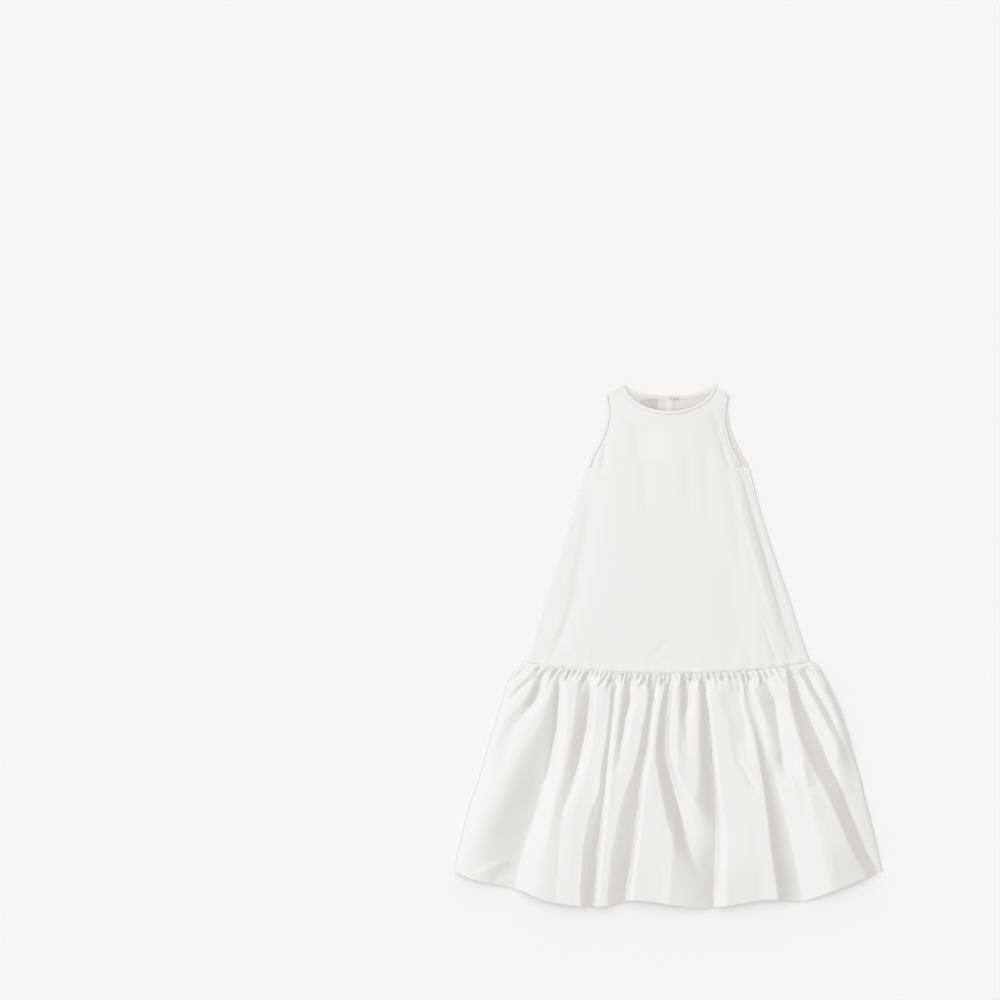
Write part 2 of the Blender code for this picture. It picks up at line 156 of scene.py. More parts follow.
# The flounce's large folds, left to right. Bend says where the left slope is steepest: above 1 at the deepest
# line, below 1 at its crest. Lean is how far (mm) the crest on the right falls over the fold, or on the left
# where below zero. Each row says, at hundredths of the way along from seam to hem, at what thousandths of
# the half width the fold is deepest, how wide its slopes to the left and right are (mm), and what percentage
# of the cloth's height there it takes, where that isn't the most
Fold = namedtuple("Fold", "bend lean rows")
At = namedtuple("At", "along share left right depth")
DEEPEST = 92


def fold(bend, lean, *rows):
    return Fold(bend, lean, tuple(
        At(along / 100, share / 1000, left, right, (taken[0] if taken else DEEPEST) / 100)
        for along, share, left, right, *taken in rows
    ))


FRONT_FOLDS = (
    fold(1.4, 0, (3, -828, 13, 8), (11, -798, 15, 9), (16, -809, 17, 12, 85), (22, -851, 19, 18, 39),
        (31, -894, 21, 22, 28), (42, -903, 23, 24, 15), (52, -910, 24, 24, 0)),
    fold(1.6, 0, (2, -727, 12, 8), (10, -678, 15, 11), (19, -665, 24, 14), (27, -654, 32, 16),
        (36, -654, 47, 18), (45, -656, 66, 20), (55, -675, 77, 24), (64, -675, 87, 27), (73, -688, 92, 30),
        (82, -702, 102, 32), (91, -710, 109, 34), (100, -715, 113, 34)),
    fold(1.4, 0, (3, -528, 20, 8), (10, -485, 22, 9), (17, -482, 24, 10), (25, -484, 23, 12, 89),
        (32, -492, 23, 14, 76), (41, -501, 21, 15, 55), (49, -520, 19, 17, 31), (60, -545, 21, 18, 19),
        (73, -538, 19, 20, 9), (95, -526, 19, 20, 8)),
    fold(1, 3, (1, -362, 8, 7), (8, -332, 8, 6, 72), (16, -333, 7, 6, 45), (25, -340, 7, 6, 35),
        (33, -342, 8, 7, 37), (42, -343, 10, 8, 39), (50, -344, 10, 8, 31), (59, -345, 20, 8, 44),
        (68, -340, 24, 8, 54), (76, -345, 25, 8, 57), (85, -347, 24, 8, 56), (95, -346, 24, 8, 69)),
    fold(1.3, 0, (2, -250, 12, 9), (12, -233, 14, 10, 72), (21, -260, 11, 10, 48), (29, -272, 9, 10, 29),
        (36, -280, 9, 12, 11), (44, -278, 9, 12, 0)),
    fold(1.2, 3, (1, -91, 12, 7), (8, -83, 11, 6), (16, -102, 9, 6, 60), (25, -120, 12, 6, 64),
        (34, -129, 14, 7, 59), (43, -145, 17, 7, 51), (52, -157, 25, 8, 56), (60, -161, 31, 8, 60),
        (69, -164, 34, 8, 64), (78, -173, 37, 9, 67), (87, -183, 35, 10, 70), (97, -196, 32, 12, 85)),
    fold(1.3, 0, (0, 12, 8, 6), (7, 10, 9, 6), (14, -3, 12, 6), (20, -15, 14, 6), (29, -22, 17, 7),
        (37, -18, 19, 8), (42, -3, 20, 12, 91), (51, 26, 24, 22), (59, 53, 25, 45), (65, 74, 26, 85, 83),
        (72, 95, 26, 110, 53), (79, 120, 26, 110, 22), (86, 147, 26, 110, 0)),
    fold(1.3, 0, (0, 148, 18, 8), (7, 136, 15, 9), (14, 117, 13, 11, 86), (20, 96, 11, 14, 32),
        (29, 95, 15, 16, 15), (36, 105, 15, 16, 0)),
    fold(1.6, 3, (1, 249, 5, 7, 22), (8, 241, 11, 6, 87), (16, 238, 15, 6), (25, 234, 20, 6),
        (33, 235, 23, 7), (42, 239, 26, 8), (50, 240, 32, 9), (59, 243, 46, 12), (65, 245, 60, 15),
        (72, 242, 73, 17), (77, 239, 76, 18), (84, 229, 70, 18), (96, 219, 60, 20, 89)),
    fold(1, 0, (1, 460, 32, 5), (8, 446, 35, 6), (14, 434, 32, 14, 62), (21, 438, 27, 28, 41),
        (30, 426, 24, 28, 29), (35, 424, 20, 22, 14), (40, 424, 19, 20, 0)),
    fold(0.6, -3, (1, 553, 19, 5), (9, 518, 19, 5, 89), (15, 511, 17, 8, 58), (22, 520, 15, 12, 42),
        (30, 528, 13, 22, 36), (39, 547, 17, 32, 38), (50, 571, 24, 44, 47), (56, 581, 27, 50, 51),
        (65, 595, 31, 56, 58), (74, 607, 36, 60, 63), (82, 613, 39, 60, 67), (91, 621, 40, 60, 84),
        (99, 624, 42, 60)),
    fold(1.2, 0, (1, 653, 23, 6), (7, 635, 25, 7), (14, 651, 25, 14, 91), (22, 633, 19, 24, 53),
        (31, 624, 19, 28, 45), (36, 625, 22, 30, 50), (41, 626, 25, 30, 55), (46, 627, 24, 30, 30),
        (50, 623, 20, 30, 0)),
    fold(1, 0, (3, 819, 11, 9), (9, 816, 15, 10), (15, 808, 19, 14), (22, 818, 25, 18), (29, 828, 28, 24),
        (36, 847, 29, 28), (44, 860, 27, 32), (51, 880, 26, 38, 89), (58, 895, 24, 42, 75),
        (66, 909, 22, 42, 80), (73, 921, 21, 42, 76), (81, 933, 20, 40, 76), (88, 950, 20, 36, 87),
        (97, 980, 20, 30)),
    fold(1.3, 0, (5, 903, 10, 8), (11, 903, 9, 10, 72), (17, 921, 11, 12, 58), (25, 934, 12, 14, 49),
        (32, 946, 11, 15, 33), (39, 962, 11, 15, 26), (46, 977, 13, 15, 25), (54, 986, 13, 15, 9),
        (60, 990, 13, 15, 0)),
    fold(0.5, 0, (35, 997, 19, 20, 0), (42, 1001, 27, 20, 35), (49, 1000, 34, 20, 70),
        (56, 999, 37, 20, 84), (64, 1001, 37, 20, 79), (71, 999, 33, 20, 73), (78, 1000, 29, 20, 73),
        (85, 1000, 25, 20, 72), (92, 999, 19, 20, 74), (99, 1000, 12, 20, 64)),
)
BACK_FOLDS = (
    fold(1.6, 0, (0, -700, 16, 12, 80), (50, -670, 18, 14, 70), (100, -700, 22, 16, 90)),
    fold(1.3, 0, (0, -300, 14, 18, 70), (50, -360, 16, 22, 90), (100, -400, 16, 26, 80)),
    fold(1.6, 0, (0, 50, 14, 14, 80), (50, 40, 14, 14, 60), (100, 0, 16, 18, 70)),
    fold(1.2, 0, (0, 420, 20, 12, 70), (50, 490, 22, 14, 90), (100, 500, 26, 16, 90)),
    fold(1.5, 0, (0, 750, 12, 16, 60), (50, 730, 14, 18, 80), (100, 760, 16, 22, 70)),
)

# Smaller creases: the line that each runs along, in side and down, its half width, its height, below zero for
# a trough, and its half width to the right where that differs
Crease = namedtuple("Crease", "line width height right", defaults=(None,))
BODY_CREASES = rows_of(Crease, (
    ((
        (-130, 189), (-134, 226), (-139, 260), (-146, 294), (-152, 327), (-158, 361), (-166, 395),
        (-181, 428), (-190, 453)
    ), 9, -1.3, 16),
    (((-166, 388), (-184, 432), (-194, 455)), 5, -0.6),
    ((
        (118, 135), (130, 159), (138, 193), (148, 226), (157.5, 260), (167, 294), (176.5, 327), (186, 361),
        (194.5, 395), (205.5, 428), (216, 453)
    ), 6, -1.8, 9),
    ((
        (118, 135), (130, 159), (138, 193), (148, 226), (167, 294), (186, 361), (205.5, 428), (216, 453)
    ), 70, 1.2, 8),
    (((111, 159), (129, 226), (149, 294), (168, 361), (187, 428)), 5, 0.5),
    (((101, 142), (111, 193), (116, 243), (126, 310)), 9, -0.6),
    (((104, 294), (111, 361), (119, 445)), 22, -0.9),
    (((-104, 98), (-107, 122), (-113, 149)), 4, -0.9, 8),
    (((-52, 60), (-47, 92), (-44, 128)), 18, -2, 45),
    (((-40, 117), (-37, 176), (-35, 226)), 11, -0.5),
    (((32, 92), (35, 151), (35, 218)), 9, -0.5),
    (((66, 92), (67, 159), (69, 218)), 10, -0.45),
    (((-91, 45), (-59, 55)), 4, -0.5),
    (((91, 92), (96, 117), (106, 139)), 4, -0.9),
    (((74, 41), (86, 66), (84, 92)), 6, -0.5),
    (((3, 432), (-12, 442), (-25, 462)), 5, -0.7),
    (((-20, 470), (-8, 464), (3, 460)), 4, -0.6),
    (((-123, 442), (-126, 462)), 4, -0.5),
    (((-162, 452), (-160, 469)), 4, -0.5),
    (((133, 448), (145, 469)), 4, -0.7),
    (((158, 398), (170, 428), (183, 465)), 3.5, -0.45),
    (((199, 442), (207, 469)), 3.5, -0.6),
))
FLOUNCE_CREASES = rows_of(Crease, (
    (((112, 622), (118, 633), (133, 653), (143, 672), (151, 684)), 5, -1.1),
    (((112, 604), (122, 625), (135, 629), (140, 622)), 5, -0.8),
    (((-91, 634), (-88, 652)), 8, -1.3),
    (((187, 622), (194, 630), (201, 626)), 6, -1.4),
    (((211, 643), (215, 660), (226, 675), (239, 678), (250, 670)), 6, -1.1),
    (((222, 630), (230, 662)), 9, 0.9),
    (((18, 580), (24, 612), (36, 622)), 6, -0.6),
    (((31, 765), (37, 798), (52, 819), (66, 815), (76, 782)), 7, -0.7, 14),
    (((-266, 502), (-253, 487), (-238, 472)), 3.5, -2.4),
    (((-274, 536), (-245, 508), (-228, 493)), 4, -2.2),
    (((-249, 546), (-269, 582), (-280, 613)), 8, -1),
    (((-318, 822), (-300, 812), (-268, 800)), 7, 1.3),
    (((-262, 640), (-285, 700), (-318, 765)), 26, 2.4),
    (((-296, 836), (-284, 826), (-266, 821)), 6, -0.8),
))

# The gathers under the seam: the valleys by their thousandths of the half width, depth (mm) and reach in
# thousandths of the flounce's length. A small puff of cloth stands up between each two
Valley = namedtuple("Valley", "share deep reach")
VALLEYS = tuple(Valley(share / 1000, deep, reach / 1000) for share, deep, reach in (
    (-943, 1, 50), (-874, 1.8, 80), (-805, 1.2, 50), (-756, 1.8, 90), (-715, 1.2, 40), (-673, 1.4, 45),
    (-628, 1.4, 40), (-597, 0.8, 30), (-543, 1.6, 70), (-510, 1.3, 35), (-483, 1.4, 40), (-448, 1.6, 55),
    (-417, 1, 30), (-379, 1.8, 80), (-349, 1.2, 40), (-309, 1.5, 50), (-278, 1.3, 50), (-247, 1.1, 30),
    (-195, 1.2, 60), (-161, 1.5, 50), (-112, 1.9, 80), (-77, 1, 30), (-46, 1.2, 35), (-15, 1.5, 50),
    (16, 1.6, 70), (54, 0.8, 30), (108, 2.2, 90), (154, 1.4, 35), (199, 1.2, 50), (234, 1.6, 50),
    (276, 1.3, 70), (317, 1.8, 60), (366, 1, 40), (411, 1.5, 60), (449, 1.9, 60), (497, 1, 40), (539, 2, 70),
    (577, 1.3, 40), (615, 0.9, 30), (654, 1.9, 60), (698, 0.9, 30), (747, 1.4, 45), (825, 2.2, 80),
    (871, 1.1, 40), (947, 1.8, 70), (982, 1.2, 30),
))
VALLEY_WIDTH = 2.0
GATHER_SEED = 7
GATHER_PUFF = 3.7

# Photo framing: how many millimetres of the gown's plane one of the picture's thousand pixels spans, where
# the gown's outline has its middle, and the lens
PIXEL = 1.6826
PICTURE = 1000
OUTLINE_MIDDLE = (668.5, 646.5)
LENS = 100.0
SENSOR = 36.0


def curve_through(places, values):
    """A smooth curve through the points, which turns over nowhere between them."""
    places = np.asarray(places, float)
    values = np.asarray(values, float)
    steps = np.diff(places)
    rises = np.diff(values) / steps
    slopes = np.zeros(len(places))
    turn = rises[:-1] * rises[1:]
    same_way = turn > 0
    slopes[1:-1][same_way] = 2 * turn[same_way] / (rises[:-1] + rises[1:])[same_way]
    slopes[[0, -1]] = rises[[0, -1]]

    def at(place):
        place = np.clip(place, places[0], places[-1])
        row = np.clip(np.searchsorted(places, place) - 1, 0, len(steps) - 1)
        step = steps[row]
        part = (place - places[row]) / step
        rest = 1 - part
        return (
            values[row] * (1 + 2 * part) * rest**2
            + slopes[row] * step * part * rest**2
            + values[row + 1] * (1 + 2 * rest) * part**2
            - slopes[row + 1] * step * rest * part**2
        )

    return at


def edges_of(rows, right="right"):
    """The left and the right edge of a table of rows, as functions of the distance down."""
    downs = [row.down for row in rows]
    return tuple(curve_through(downs, [getattr(row, edge) for row in rows]) for edge in ("left", right))


FRONT_SIDES = edges_of(BODY_EDGES)
BACK_SIDES = edges_of(BODY_EDGES, "right_behind")
FLOUNCE_SIDES = edges_of(FLOUNCE_EDGES)


def ease(value):
    """Turns 0 to 1 into 0 to 1 with soft ends."""
    value = np.clip(value, 0, 1)
    return value * value * (3 - 2 * value)


def place(points):
    """Points of side, down and height, in metres in the frame."""
    middle = (HEM_LEFT + HEM_RIGHT) / 2
    points = np.asarray(points, float)
    return np.stack([points[..., 0] - middle, LENGTH / 2 - points[..., 1], points[..., 2]], axis=-1) / 1000


def seam_down(share):
    """The seam between body and flounce, at a share of its half width."""
    return SEAM_LOWEST - SEAM_RISE * np.abs(share) ** SEAM_ROUNDNESS


def seam_share(side):
    """The share of the flounce's half width at its seam that a place to the side is at."""
    ends = FLOUNCE_EDGES[0]
    return np.clip((side - (ends.left + ends.right) / 2) / ((ends.right - ends.left) / 2), -1, 1)


def shoulder_down(side):
    """The shoulder seam: level at the neck point, and lower towards the tip."""
    return SHOULDER_DROP * np.clip((np.abs(side) - SHOULDER_POINT) / (SHOULDER_TIP - SHOULDER_POINT), 0, 1)


def run_along(line):
    """How far along a line each of its points is."""
    return np.concatenate([[0], np.cumsum(np.linalg.norm(np.diff(line, axis=0), axis=1))])


def moved_off(line, distance):
    """A line's points moved square to it, to the left of its way along."""
    way = np.gradient(line, axis=0)
    way /= np.linalg.norm(way, axis=1, keepdims=True)
    return line + distance * np.stack([way[:, 1], -way[:, 0]], axis=1)


def neck_line(depth, steps, start=-1.0, end=1.0):
    """The neck's edge from left to right, or a stretch of it, as a rounded arch of this depth."""
    turn = np.linspace(math.asin(start), math.asin(end), steps + 1)
    share = np.sin(turn)
    down = depth * np.clip(1 - np.abs(share) ** NECK_ROUNDNESS, 0, 1) ** (1 / NECK_ROUNDNESS)
    return np.stack([NECK_MIDDLE + NECK_HALF_WIDTH * share, down], axis=1)


def below_shoulder(line):
    """The same line, with no point above the shoulder seam."""
    return np.stack([line[:, 0], np.maximum(line[:, 1], shoulder_down(line[:, 0]))], axis=1)


def armhole_line(edge, steps):
    """An armhole's edge from the shoulder tip down to the underarm."""
    down = np.linspace(SHOULDER_DROP, UNDERARM_DOWN, steps + 1)
    return np.stack([edge(down), down], axis=1)


def patch(top, bottom, left, right):
    """A grid of points filled in between four edges."""
    run = run_along(top)
    across = run / run[-1]
    across = 0.5 * across + 0.5 * (top[:, 0] - top[0, 0]) / (top[-1, 0] - top[0, 0])
    run = run_along(left)
    along = run / run[-1]
    floor = np.stack([np.interp(across, bottom[0], row) for row in bottom[1:]], axis=1)
    u = across[None, :, None]
    v = along[:, None, None]
    corners = (1 - u) * (1 - v) * top[0] + u * (1 - v) * top[-1] + (1 - u) * v * floor[0] + u * v * floor[-1]
    return (1 - v) * top[None] + v * floor[None] + (1 - u) * left[:, None] + u * right[:, None] - corners


def seam_edge(left, right):
    """The body's lower edge between two sides, as (shares, sides, downs) for `patch`."""
    shares = np.linspace(0, 1, 257)
    sides = left + (right - left) * shares
    return shares, sides, seam_down(seam_share(sides)) - TOUCHING


def crease(row, side, down):
    """The height that one small crease adds at each point. It fades at both its ends."""
    line = np.asarray(row.line, float)
    lengths = np.linalg.norm(np.diff(line, axis=0), axis=1)
    starts = run_along(line)
    nearest = np.full(side.shape, np.inf)
    part = np.zeros(side.shape)
    width = np.zeros(side.shape)
    for (x0, y0), (x1, y1), length, start in zip(line[:-1], line[1:], lengths, starts):
        share = np.clip(((side - x0) * (x1 - x0) + (down - y0) * (y1 - y0)) / length**2, 0, 1)
        away = np.hypot(side - x0 - share * (x1 - x0), down - y0 - share * (y1 - y0))
        closer = away < nearest
        nearest = np.where(closer, away, nearest)
        part = np.where(closer, (start + share * length) / starts[-1], part)
        square_off = ((side - x0) * (y1 - y0) - (down - y0) * (x1 - x0)) / length
        to_right = 0.5 + 0.5 * np.clip(square_off / np.maximum(away, 0.1), -1, 1)
        wide = row.width + ((row.right or row.width) - row.width) * to_right
        width = np.where(closer, wide, width)
    fade = 0.25 + 0.75 * np.sin(math.pi * np.clip(part, 0.0, 1.0)) ** 0.7
    return row.height * fade * np.exp(-((nearest / width) ** 2))


def waves(side, down):
    """Very low, wide unevenness of cloth that was smoothed by hand."""
    return (
        0.16 * np.sin(side / 31 + 0.7) * np.sin(down / 83 + 1.1)
        + 0.10 * np.sin(side / 17 - down / 140 + 2.0)
        + 0.07 * np.sin(side / 53 + down / 41)
    )


def body_height(side, down):
    """The underside of the body's front: on the back at its edges, a little above it between."""
    left, right = FRONT_SIDES
    reach = np.where(side < 0, -left(down), right(down))
    swell = 1 - np.clip(np.abs(side) / reach, 0, 1) ** 2.5
    return SATIN_WALL + LAYER_GAP + BODY_LIFT * swell * ease(down / LIFTED_BELOW)


def seam_puff(side, down):
    """The roll just above the gathered seam, where its allowance is pressed up under the body."""
    above = seam_down(seam_share(side)) - down
    uneven = 1 + 0.25 * np.sin(side / 3.1) * np.sin(side / 11.0 + 1)
    roll = 0.6 * uneven * np.exp(-(((above - 4.5) / 2.6) ** 2)) - 0.3 * np.exp(-((above / 2.5) ** 2))
    tug = 0.22 * np.sin(side / 4.3 + 1.3 * np.sin(side / 29)) * np.exp(-above / 14)
    return (roll + tug) * ease((1 - np.abs(seam_share(side))) / 0.07)


def front_body_height(side, down):
    """The body's front with its creases: nowhere below the back, and turned down at its left edge."""
    left, right = FRONT_SIDES
    inside = ease(np.minimum(side - left(down), right(down) - side) / CREASED_WITHIN)
    detail = waves(side, down) + sum(crease(row, side, down) for row in BODY_CREASES)
    closed = np.where((down > UNDERARM_DOWN + 8) & (side < 0), turned_down(side - left(down)), 1)
    closed = 1 - (1 - closed) * ease((ROUND_EDGE_ENDS - down) / 8)
    above = body_height(side, down) + inside * detail + seam_puff(side, down) - ON_THE_BACK
    return (ON_THE_BACK + (above + np.sqrt(above**2 + SOFT_LANDING**2)) / 2) * closed


def turned_down(inside):
    """Where cloth folds round to the layer below it, it goes down to the floor within a few millimetres."""
    return np.sqrt(np.clip(1 - np.clip(1 - inside / EDGE_TURN, 0, 1) ** 2, 0, 1))


def fold_rows(fold, along):
    """The fold's deepest line, slope widths and depth at each part of the way along."""
    alongs = [row.along for row in fold.rows]
    return [curve_through(alongs, [row[k] for row in fold.rows])(along) for k in range(1, 5)]


def slope(near, bend):
    """How deep a slope is, from 0 at its crest to 1 at the deepest line."""
    return near**bend if bend >= 1 else 1 - (1 - near) ** (1 / bend)


def folded(folds, share, along, half_width):
    """What all the folds together leave of the cloth's height."""
    remains = np.ones_like(share)
    for fold in folds:
        line, left, right, depth = fold_rows(fold, along)
        away = (share - line) * half_width
        blunt = np.sqrt(away**2 + FOLD_ROUNDING**2) - FOLD_ROUNDING
        near = np.clip(1 - blunt / np.where(away < 0, left, right), 0, 1)
        remains = remains * (1 - depth * np.where(away < 0, slope(near, fold.bend), slope(near, 1.5)))
    return remains


def leaned(folds, share, along, half_width):
    """How far sideways the crests fall over the folds beside them."""
    moved = np.zeros_like(share)
    for fold in folds:
        line, left, right, depth = fold_rows(fold, along)
        away = (share - line) * half_width
        if fold.lean > 0:
            over = (away - 0.5 * right) / (0.45 * right)
        else:
            over = (away + 0.9 * left) / (0.35 * left)
        moved -= fold.lean * np.exp(-(over**2)) * depth * ease(along / 0.08)
    return moved


def gathers(share, along, half_width):
    """The gathers: sharp valleys that run down from the seam, and a small uneven puff between each two."""
    dice = np.random.default_rng(GATHER_SEED)
    height = np.zeros_like(share)
    for row, after in zip(VALLEYS[:-1], VALLEYS[1:]):
        tall = GATHER_PUFF * dice.uniform(0.4, 1.25)
        reach = dice.uniform(0.03, 0.085)
        drift = dice.uniform(-0.4, 0.4)
        peak = dice.uniform(-0.85, 0.0)
        across = (share - drift * along - (row.share + after.share) / 2) / ((after.share - row.share) / 2)
        aside = np.abs(across - peak) / np.where(across < peak, 1 + peak, 1 - peak)
        part = along / reach
        round_off = ease(part / 0.22) * (1 - ease((part - 0.4) / 0.6))
        height += tall * np.clip(1 - aside**1.5, 0, 1) * round_off
    for row in VALLEYS:
        bend = dice.uniform(-0.15, 0.15)
        away = (share - row.share - bend * along) * half_width
        spread = VALLEY_WIDTH * (0.7 + 0.3 * row.deep) * (1 + along / row.reach)
        fade = ease(along / 0.008) * np.exp(-((along / row.reach) ** 1.6))
        height -= 1.7 * row.deep * fade * np.exp(-(np.sqrt(away**2 + 0.4) - 0.63) / spread)
    return height * (1 - np.abs(share) ** 12)


def flounce_grid(shares, alongs, hem, inset=0.0):
    """Points of side and down over the flounce, with their share across, part along and half width."""
    share, along = np.meshgrid(shares, alongs)
    hem_line = curve_through([row.share for row in hem], [row.down for row in hem])
    flank = seam_down(1) + along * (hem_line(1.0) - seam_down(1))
    left, right = (edge(flank) for edge in FLOUNCE_SIDES)
    half_width = (right - left) / 2 - inset
    side = (right + left) / 2 + share * half_width
    seam = seam_down(share * half_width / (half_width + inset))
    down = seam + along * (hem_line(share) - seam)
    return side, down, share, along, half_width


def back_folds_lift(share, along, half_width):
    """How far the back layer's folds stand up, and lift the front layer with them."""
    raised = BACK_FOLD_LIFT * (1 - folded(BACK_FOLDS, share, along, half_width))
    return raised * ease((1 - np.abs(share)) / 0.08) * ease(along / 0.05)


def back_flounce_height(share, along, half_width):
    """The underside of the flounce's back layer: flat, with a few low folds."""
    raised = back_folds_lift(share, along, half_width)
    return np.where(raised < BACK_FOLD_LEAST, 0, raised - BACK_FOLD_LEAST)


def front_flounce_height(side, down, share, along, half_width):
    """The underside of the flounce's front layer, with its folds, its gathers and its small creases."""
    crest = curve_through(*zip(*CREST_HEIGHTS))(along) * (1 - np.abs(share) ** 13) ** 0.5
    soft_start = ease(along / WHOLE_FOLDS)
    lift = back_folds_lift(share, along, half_width) + BACK_FOLD_LEAST * soft_start
    low = SATIN_WALL + LAYER_GAP + lift
    taken = (1 - folded(FRONT_FOLDS, share, along, half_width)) * (0.25 + 0.75 * soft_start)
    height = low + crest * (1 - taken)
    small = sum(crease(row, side, down) for row in FLOUNCE_CREASES) + 1.5 * waves(side * 1.4, down)
    inside = ease((1 - np.abs(share)) / 0.05)
    height = np.maximum(height + inside * small + gathers(share, along, half_width), low)
    body = front_body_height(side, down - TOUCHING)
    near_seam = body - 0.25 + (height - body + 0.25) * ease(along / OFF_BODY_LEVEL)
    height = np.where(along < AT_BODY_LEVEL, near_seam, height)
    ditch = SEAM_DITCH * np.exp(-(((along - DITCH_MIDDLE) / DITCH_HALF_WIDTH) ** 2))
    ditch = ditch * (0.55 + 0.45 * np.sin(share * 61 + 1) * np.sin(share * 23))
    height = np.maximum(height - ditch, low)
    return height * turned_down((1 - np.abs(share)) * half_width)


def fill(tree, socket, value):
    """Links a Value to a socket, or sets the socket to a number, a vector or a colour."""
    if isinstance(value, Value):
        tree.links.new(value.socket, socket)
    else:
        socket.default_value = value


class Value:
    """A number that varies over a surface. Sums and products of it add their Math nodes."""

    def __init__(self, tree, socket):
        self.tree = tree
        self.socket = socket

    def math(self, operation, *others):
        node = self.tree.nodes.new("ShaderNodeMath")
        node.operation = operation
        for socket, value in zip(node.inputs, others):
            fill(self.tree, socket, value)
        return Value(self.tree, node.outputs[0])

    def __add__(self, other):
        return self.math("ADD", self, other)

    def __radd__(self, other):
        return self.math("ADD", other, self)

    def __mul__(self, other):
        return self.math("MULTIPLY", self, other)

    def __rmul__(self, other):
        return self.math("MULTIPLY", other, self)


class Nodes:
    """A material's or the world's nodes, around its surface or background shader."""

    def __init__(self, owner, shader):
        owner.use_nodes = True
        self.tree = owner.node_tree
        self.shader = self.tree.nodes[shader]

    def put(self, name, value):
        """Fills one of the shader's own sockets."""
        fill(self.tree, self.shader.inputs[name], value)

    def add(self, kind, inputs, output=0, **settings):
        """A node of this type: its settings first, then its sockets' values or links. Gives one output."""
        node = self.tree.nodes.new(kind)
        for name, value in settings.items():
            setattr(node, name, value)
        for name, value in inputs.items():
            fill(self.tree, node.inputs[name], value)
        return Value(self.tree, node.outputs[output])

    def noise(self, where, scale, detail):
        return self.add("ShaderNodeTexNoise", {"Vector": where, "Scale": scale, "Detail": detail}, "Fac")

    def ribs(self, where, way, scale, **more):
        inputs = {"Vector": where, "Scale": scale, **more}
        return self.add("ShaderNodeTexWave", inputs, "Fac", bands_direction=way)

    def blend(self, mask, *colours):
        """Between two colours, by a mask."""
        first, second = (colour if isinstance(colour, Value) else (*colour, 1) for colour in colours)
        return self.add("ShaderNodeMix", {0: mask, 6: first, 7: second}, 2, data_type="RGBA")

    def colour(self, mask, dark, light):
        self.put("Base Color", self.blend(mask, dark, light))

    def relief(self, height, strength, distance):
        inputs = {"Height": height, "Strength": strength, "Distance": distance}
        self.put("Normal", self.add("ShaderNodeBump", inputs))


def finish(name, where, **constants):
    """A material with the constants set on its shader, its nodes, and the coordinates its pattern follows."""
    made = bpy.data.materials.new(name)
    nodes = Nodes(made, "Principled BSDF")
    for key, value in constants.items():
        nodes.put(key.replace("_", " "), value)
    return made, nodes, nodes.add("ShaderNodeTexCoord", {}, where)


def darker(colour, share):
    return tuple(share * part for part in colour)


THREAD_PITCH = 0.32


def satin(name, colour, shade, gloss=0.5, roughness=0.38, turn=0.0):
    """Satin: long floats of thread one way, crossed finely the other, a little uneven in tone and gloss."""
    made, nodes, cloth = finish(name, "UV", Metallic=gloss, Sheen_Weight=0.08, Sheen_Roughness=0.4)
    cloth = nodes.add("ShaderNodeMapping", {"Vector": cloth, "Rotation": (0, 0, turn)})
    floats = nodes.ribs(cloth, "X", 1000 / THREAD_PITCH / 20, Distortion=1.5, Detail=1.0)
    crossed = nodes.ribs(cloth, "Y", 1000 / THREAD_PITCH / 62, Distortion=3.0, Detail=1.0)
    slubs = nodes.noise(nodes.add("ShaderNodeMapping", {"Vector": cloth, "Scale": (900, 60, 1)}), 1.0, 3.0)
    wide = nodes.noise(cloth, 9.0, 2.0)
    nodes.colour(wide * 0.5 + slubs * 0.35, shade, colour)
    nodes.put("Roughness", slubs * 0.10 + wide * 0.06 + (roughness - 0.08))
    nodes.relief(floats * 0.6 + crossed * 0.4 + slubs * 0.5, 0.12, 0.00004)
    return made


def matt_tape(name, colour):
    """A woven tape with fine cross ribs."""
    made, nodes, cloth = finish(name, "UV", Roughness=0.75, Sheen_Weight=0.1)
    ribs = nodes.ribs(cloth, "Y", 900.0, Distortion=0.6)
    flecks = nodes.noise(cloth, 900.0, 2.0)
    nodes.colour(ribs * 0.4 + flecks * 0.6, darker(colour, 0.86), colour)
    nodes.relief(ribs + flecks * 0.5, 0.4, 0.0001)
    return made


def twisted_thread(name, colour):
    """Sewing thread: glossy, with the turns of its plies."""
    made, nodes, where = finish(name, "Object", Roughness=0.45, Sheen_Weight=0.2)
    plies = nodes.ribs(where, "DIAGONAL", 900.0, Distortion=1.0)
    nodes.colour(plies, darker(colour, 0.88), colour)
    nodes.relief(plies, 0.3, 0.00005)
    return made


def drawn_wire(name, dark, bright):
    """Plated wire with faint drawing marks."""
    made, nodes, where = finish(name, "Object", Metallic=1.0)
    marks = nodes.noise(where, 2500.0, 3.0)
    nodes.colour(marks, dark, bright)
    nodes.put("Roughness", marks * 0.25 + 0.2)
    nodes.relief(marks, 0.2, 0.00003)
    return made


IVORY = (0.846, 0.848, 0.838)
IVORY_SHADE = (0.820, 0.819, 0.804)
BIAS = math.radians(45)
ivory_satin = satin("ivory_satin", IVORY, IVORY_SHADE)
bias_satin = satin("bias_cut_satin", IVORY, IVORY_SHADE, turn=BIAS)
# The satin's dull reverse: less glossy than the face, and set darker as painted shade for the inside of the
# gown, seen through the neck and armholes and under the front layer.
reverse_satin_painted_shade = satin("painted_shade_reverse_satin", (0.80, 0.775, 0.755), (0.77, 0.745, 0.725), 0.12, 0.5)
# The back bindings' reverse: less glossy, and set darker as painted shade for the inside of the neck and
# armholes.
bias_reverse_satin_painted_shade = satin("bias_cut_painted_shade_reverse_satin", (0.82, 0.795, 0.775), (0.79, 0.765, 0.745), 0.3, turn=BIAS)
cream_satin = satin("cream_placket_satin", (0.87, 0.84, 0.79), (0.84, 0.80, 0.75), 0.1, 0.5)
